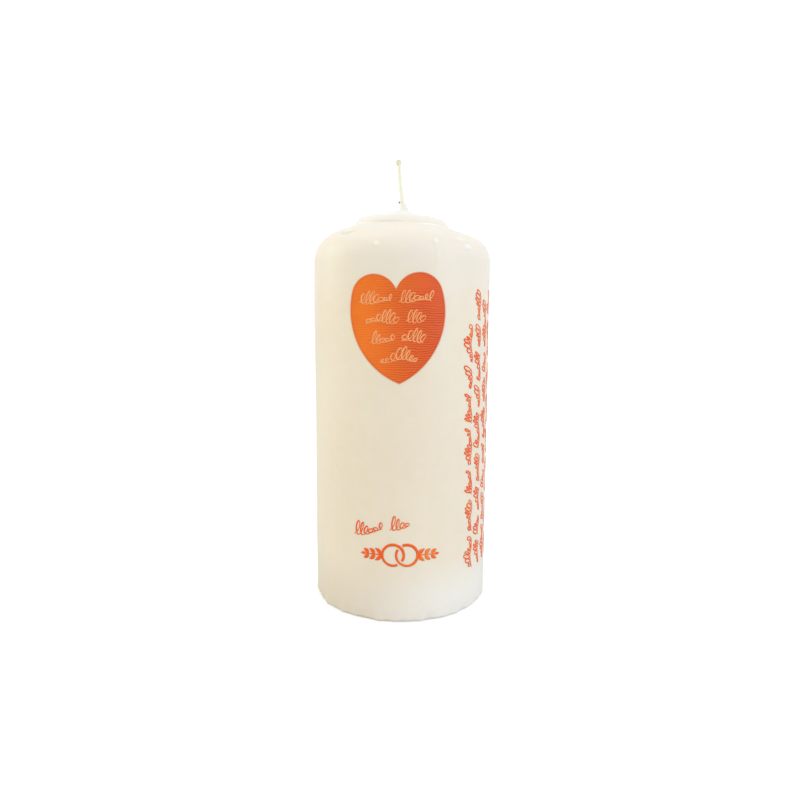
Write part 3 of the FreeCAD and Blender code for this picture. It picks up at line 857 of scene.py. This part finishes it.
def build_flourish(ink):
    """A short rising row of pen loops over the rings."""
    body, slope, width = 2.5 * MM, math.radians(12), 0.42 * MM
    length = flourish_high.x - flourish_low.x - 1.2 * MM
    start = (flourish_low.x + 0.5 * MM, flourish_low.z + 0.7 * MM)
    heap = Heap()
    write_row(heap, random.Random(SEED + 11), length, body, start, slope, width)
    make_piece("flourish_stroke", heap, ink, "flourish_print")


def sprig(start, end):
    """Paths and widths of a stem that runs right from start to end, with pairs of leaves and a tip."""
    pairs, pair_step, leaf_angle = 3, 2.05 * MM, math.radians(46)
    walk = np.linspace(0, 1, 40)
    leaf_widths = 1.2 * MM * np.sin(math.pi * walk**0.85) ** 0.8 + 0.04 * MM
    stem = np.stack([start + (end - start) * walk, 0 * walk], 1)
    strokes = [(stem, 0.45 * MM * (1 - 0.4 * walk))]
    for index in range(pairs):
        root = (start + 0.2 * MM + pair_step * index, 0)
        length = (2.7 - 0.3 * index) * MM
        for up in (1, -1):
            bow = 0.3 * MM * np.sin(walk * math.pi)
            leaf = np.stack([length * walk, up * bow], 1)
            strokes.append((laid(leaf, root, up * leaf_angle), leaf_widths))
    tip = np.stack([end - 0.6 * MM + 1.6 * MM * walk, 0 * walk], 1)
    strokes.append((tip, 0.7 * leaf_widths))
    return strokes


def build_rings(ink):
    """Two linked rings between leafy sprigs. Each ring has a gap where it passes under the other."""
    turned = math.radians(2.2)
    middle = (0, (rings_low.z + rings_high.z) / 2)
    ring_radius, ring_width, spread = 3.4 * MM, 0.85 * MM, 2.2 * MM
    crossing = math.acos(spread / ring_radius)
    gap = math.radians(16)
    heap = Heap()
    for sign, under in ((1, math.pi - crossing), (-1, -crossing)):
        angles = np.linspace(under + gap, under + 2 * math.pi - gap, 110)
        path = np.stack([np.cos(angles), np.sin(angles)], 1) * ring_radius + (sign * spread, 0)
        ribbon(heap, path + middle, ring_width * (1 + 0.1 * np.sin(angles + 0.8)), turned=turned)
    for sign in (1, -1):
        for path, widths in sprig(spread + ring_radius + 0.2 * MM, 11.5 * MM):
            ribbon(heap, path * (sign, 1) + middle, widths, turned=turned)
    make_piece("rings_motif", heap, ink, "rings_print")


def wick_centre(height):
    """Points on the wick's centre line at a height or heights."""
    height = np.asarray(height)
    return np.stack([wick_x(height), 0 * height, height], -1)


def build_wick(material):
    """Eight plies braided round the centre line, four each way."""
    plies, ply_radius, ply_sides = 4, 0.29 * MM, 8
    reach, weave, turn_rate = 0.44 * MM, 0.05 * MM, 2 * math.pi / (5.6 * MM)
    height = np.arange(wick_low.z, WICK_TIP.z + 0.3 * MM, 0.4 * MM)
    centre = wick_centre(height)
    taper = 1 - 0.3 * smooth_step((height - WAX_TOP) / (WICK_TIP.z - WAX_TOP))
    heap = Heap()
    for sense in (1, -1):
        for ply in range(plies):
            angle = sense * turn_rate * height + 2 * math.pi * ply / plies
            over_under = sense * weave * np.sin(plies * turn_rate * height + math.pi * ply)
            out = (reach + over_under) * taper
            path = centre + np.stack([out * np.cos(angle), out * np.sin(angle), 0 * angle], 1)
            tube(heap, path, ply_radius * taper, ply_sides)
    make_piece("braided_wick", heap, material, "wick")


def build_loose_fibres(material):
    """Short fibres that stand off the wick over the wax."""
    fibres, points, sides = 14, 9, 5
    root_reach = 0.5 * MM
    walk = np.linspace(0, 1, points)[:, None]
    radii = np.linspace(0.03, 0.012, points) * MM
    dice = random.Random(SEED + 2)
    heap = Heap()
    for _ in range(fibres):
        start = dice.uniform(WAX_TOP + 0.5 * MM, WICK_TIP.z)
        angle = dice.uniform(0, 2 * math.pi)
        reach = dice.uniform(0.8, 1.4) * MM
        outward = np.array([math.cos(angle), math.sin(angle), dice.uniform(0.2, 1.4)])
        curl = np.array([-math.sin(angle), math.cos(angle), 0]) * dice.uniform(-0.5, 0.5)
        root = wick_centre(start) + root_reach * outward * (1, 1, 0)
        path = root + (outward * walk + curl * walk**2) * (reach - root_reach)
        tube(heap, path, radii, sides)
    make_piece("wick_loose_fibres", heap, material, "wick")


def wax_lump(centre, radius):
    """A closed, slightly lumpy ball."""
    rings, sides = 24, 36
    polar = np.linspace(0, math.pi, rings + 2)[1:-1, None]
    around = np.linspace(0, 2 * math.pi, sides, endpoint=False)[None, :]
    lumps = 1 + 0.07 * np.sin(3 * around + 1) * np.sin(polar) ** 2 + 0.05 * np.sin(5 * around + 4 * polar)
    size = 0.92 * radius * lumps
    across = size * np.sin(polar)
    ball = np.stack([across * np.cos(around), across * np.sin(around), size * np.cos(polar)], -1)
    faces = grid_faces(rings, sides, close_columns=True)
    faces.append(tuple(range(sides)))
    faces.append(tuple(range((rings - 1) * sides, rings * sides)))
    heap = Heap()
    heap.add((ball + np.array(centre)).reshape(-1, 3), faces)
    return heap


def build_bead():
    """The bead of wax at the wick's tip."""
    make_piece("wick_tip_bead", wax_lump(WICK_TIP, BEAD_RADIUS), bead_wax(), "wick")


def build_dark_lump():
    """A dark lump of wax left of the sheath's mouth."""
    place = (wick_x(WAX_TOP) - 1.15 * MM, 0, WAX_TOP + 0.35 * MM)
    make_piece("sheath_dark_lump", wax_lump(place, 0.38 * MM), dark_lump_wax(), "wick")


def paint_cad_nodes():
    """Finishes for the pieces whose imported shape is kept."""
    for node, material, slot in (
        ("wax_core", pressed_wax(), "core_wax"),
        ("wick_clip", tinplate(), "tinplate"),
        ("base_label", label_paper(), "label_paper"),
    ):
        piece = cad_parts[node]
        piece.data.materials.clear()
        piece.data.materials.append(material)


# ---------------------------------------------------------------- stage, light, camera


def build_floor():
    """A pale floor wider than any view, which the camera sees brighten to white away from the candle."""
    reach, under = 12.0, -0.02 * MM
    glow_start, glow_end, least_glow = 0.06, 0.45, 0.42
    points = [(x * reach, y * reach, under) for x, y in ((-1, -1), (1, -1), (1, 1), (-1, 1))]
    mesh = bpy.data.meshes.new("floor")
    mesh.from_pydata(points, [], [(0, 1, 2, 3)])
    paint = Paint("floor_paper", Roughness=0.9, Emission_Color=(1, 1, 1, 1))
    distance = paint.add("ShaderNodeVectorMath", operation="LENGTH")
    paint.links.new(paint.place, distance.inputs[0])
    glow = paint.spread(distance.outputs["Value"], glow_start, glow_end, least_glow, 1.0)
    seen = paint.add("ShaderNodeLightPath").outputs["Is Camera Ray"]
    paint.feed(paint.shader.inputs["Emission Strength"], paint.product(glow, seen))
    grain = paint.noise(700, 2.0)
    mesh.materials.append(paint.finish(paint.mix(grain, tint(214, 214, 213), tint(218, 218, 217))))
    floor = bpy.data.objects.new("floor", mesh)
    bpy.context.scene.collection.objects.link(floor)


def build_world():
    """An even white surround, a little dimmer as a light source than it looks."""
    as_light, as_seen = 0.95, 1.05
    world = bpy.data.worlds.new("studio")
    bpy.context.scene.world = world
    world.use_nodes = True
    nodes, links = world.node_tree.nodes, world.node_tree.links
    background = nodes["Background"]
    path = nodes.new("ShaderNodeLightPath")
    seen = nodes.new("ShaderNodeMapRange")
    set_inputs(seen, To_Min=as_light, To_Max=as_seen)
    links.new(path.outputs["Is Camera Ray"], seen.inputs["Value"])
    links.new(seen.outputs["Result"], background.inputs["Strength"])
    set_inputs(background, Color=(1, 1, 1, 1))


# Soft boxes: place, width and height in metres, power in watts, colour.
SOFT_BOXES = {
    "left_box": ((-1.0, 0.1, 0.4), (0.6, 0.6), 1.5, (1.0, 0.98, 0.6)),
    "right_box": ((0.87, -0.46, 0.25), (0.7, 1.0), 3.1, (0.5, 0.68, 1.0)),
    "top_box": ((-0.35, 0.05, 0.95), (0.25, 0.5), 0.5, (0.85, 0.95, 1.0)),
}


def soft_box(name, place, size, power, colour):
    """A large soft lamp that faces the middle of the candle."""
    lamp = bpy.data.lights.new(name, "AREA")
    lamp.shape = "RECTANGLE"
    lamp.size, lamp.size_y = size
    lamp.energy = power
    lamp.color = colour
    holder = bpy.data.objects.new(name, lamp)
    holder.location = place
    aim = Vector((0, 0, WAX_TOP / 2)) - holder.location
    holder.rotation_euler = aim.to_track_quat("-Z", "Y").to_euler()
    bpy.context.scene.collection.objects.link(holder)


def build_camera():
    """A close view from below the top of the wax, turned slightly to the right."""
    azimuth = math.radians(2.5)
    distance, height = 224.35 * MM, 95.6 * MM
    pitch, yaw, roll = math.radians(6.972), math.radians(-0.146), math.radians(-0.29)
    data = bpy.data.cameras.new("camera")
    data.lens = 28.76
    data.sensor_width = 36
    data.clip_start = 0.01
    camera = bpy.data.objects.new("camera", data)
    camera.location = (distance * math.sin(azimuth), -distance * math.cos(azimuth), height)
    camera.rotation_euler = (math.pi / 2 - pitch, roll, azimuth - yaw)
    bpy.context.scene.collection.objects.link(camera)
    bpy.context.scene.camera = camera


build_coat()
build_heart()
build_heart_pen()
red_ink = pen_ink("red_pen_ink", tint(250, 98, 8), tint(252, 140, 60), 90)
build_side_pen(red_ink)
build_flourish(red_ink)
build_rings(red_ink)
strands = cotton()
build_wick(strands)
build_loose_fibres(strands)
build_bead()
build_dark_lump()
paint_cad_nodes()

build_floor()
build_world()
for name, settings in SOFT_BOXES.items():
    soft_box(name, *settings)
build_camera()
bpy.context.scene.view_settings.view_transform = "Standard"

bpy.context.view_layer.update()
